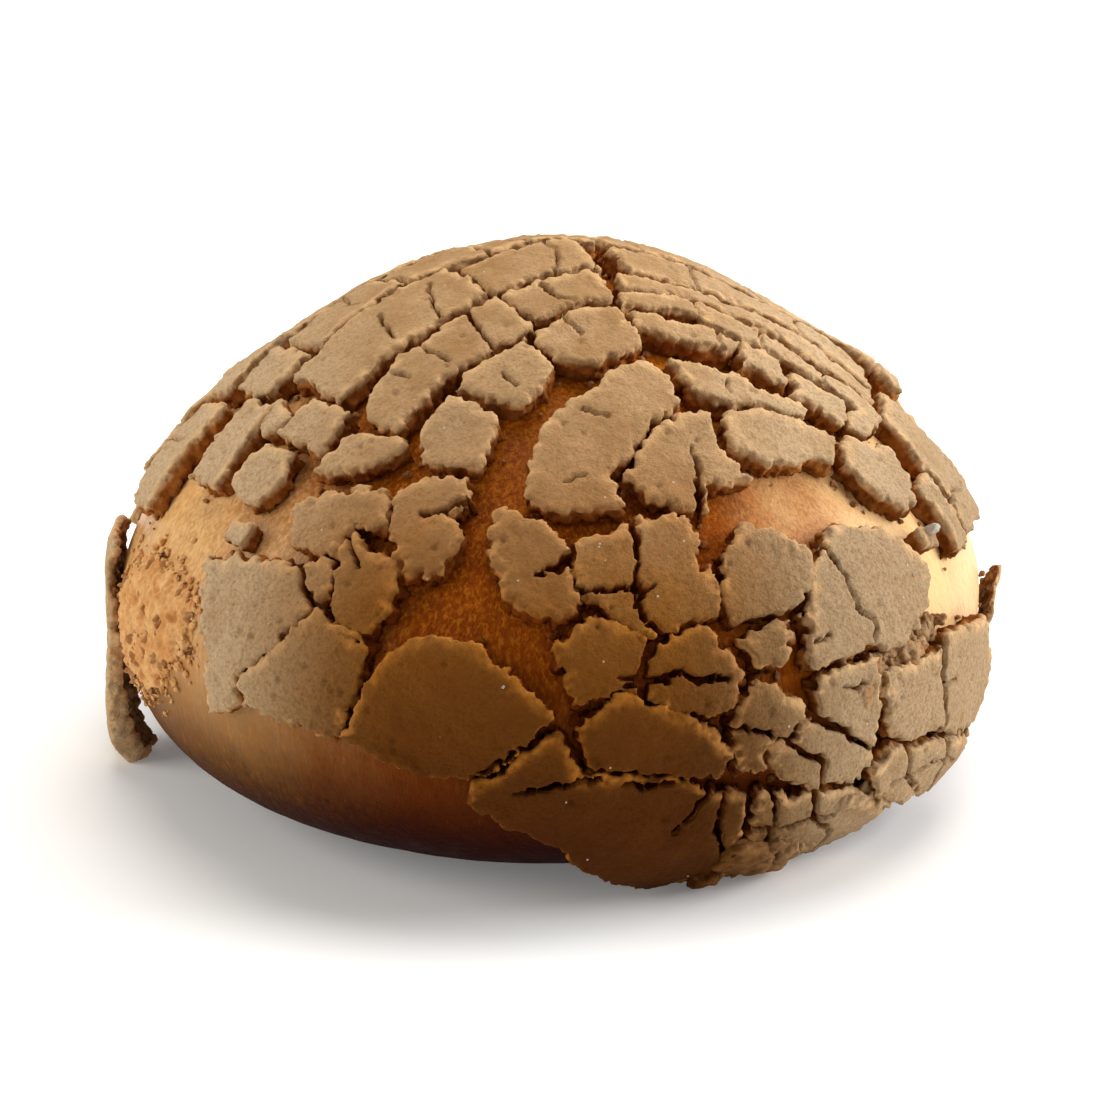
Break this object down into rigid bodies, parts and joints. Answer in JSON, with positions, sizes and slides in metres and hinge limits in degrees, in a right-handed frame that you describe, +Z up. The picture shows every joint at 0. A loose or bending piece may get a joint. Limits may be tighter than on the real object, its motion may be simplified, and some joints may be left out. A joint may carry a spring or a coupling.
{
  "type": "chocolate concha",
  "caption": "Round domed sweet bun with a cracked shell-scored chocolate sugar paste topping that has slid to the table at the front.",
  "frame": {"origin": "centre of the flat foot that the bun stands on", "axes": "+Z up through the dome, -Y towards the pictured front, +X to that view's right"},
  "size_m": [0.1213, 0.1176, 0.0711],
  "materials": {
    "crust": null,
    "topping": null
  },
  "bodies": {
    "root": {"bun": "crust", "leaf": "topping", "tongue": "topping", "brow": "topping", "shield": "topping", "small_shield": "topping", "row1_a": "topping", "row1_b": "topping", "row1_c": "topping", "row1_d": "topping", "row1_e": "topping", "row2_a": "topping", "row3_a": "topping", "row1_f": "topping", "row2_b": "topping", "row2_c": "topping", "row2_d": "topping", "row2_e": "topping", "row3_b": "topping", "row3_c": "topping", "row3_d": "topping", "row3_e": "topping", "row4_a": "topping", "row4_b": "topping", "row4_c": "topping", "row4_d": "topping", "row4_e": "topping", "row4_f": "topping", "row5_a": "topping", "edge_low": "topping", "edge_long": "topping", "edge_lump": "topping", "crackle_hook": "topping", "crackle_upper": "topping", "crackle_centre": "topping", "crackle_right": "topping", "crackle_left": "topping", "crackle_small": "topping", "crackle_lower": "topping", "crackle_foot": "topping", "left_high": "topping", "left_low": "topping", "left_inner": "topping", "left_upper": "topping", "left_hooked": "topping", "skirt_plate": "topping", "skirt_sheet": "topping", "skirt_foot": "topping", "skirt_facets": "topping", "skirt_rim": "topping", "row5_b": "topping", "row5_c": "topping", "row6_b": "topping", "row6_c": "topping", "row7_b": "topping", "row7_c": "topping", "row8_b": "topping", "row9_b": "topping", "flap_left": "topping", "flap_right": "topping"}
  },
  "joints": []
}
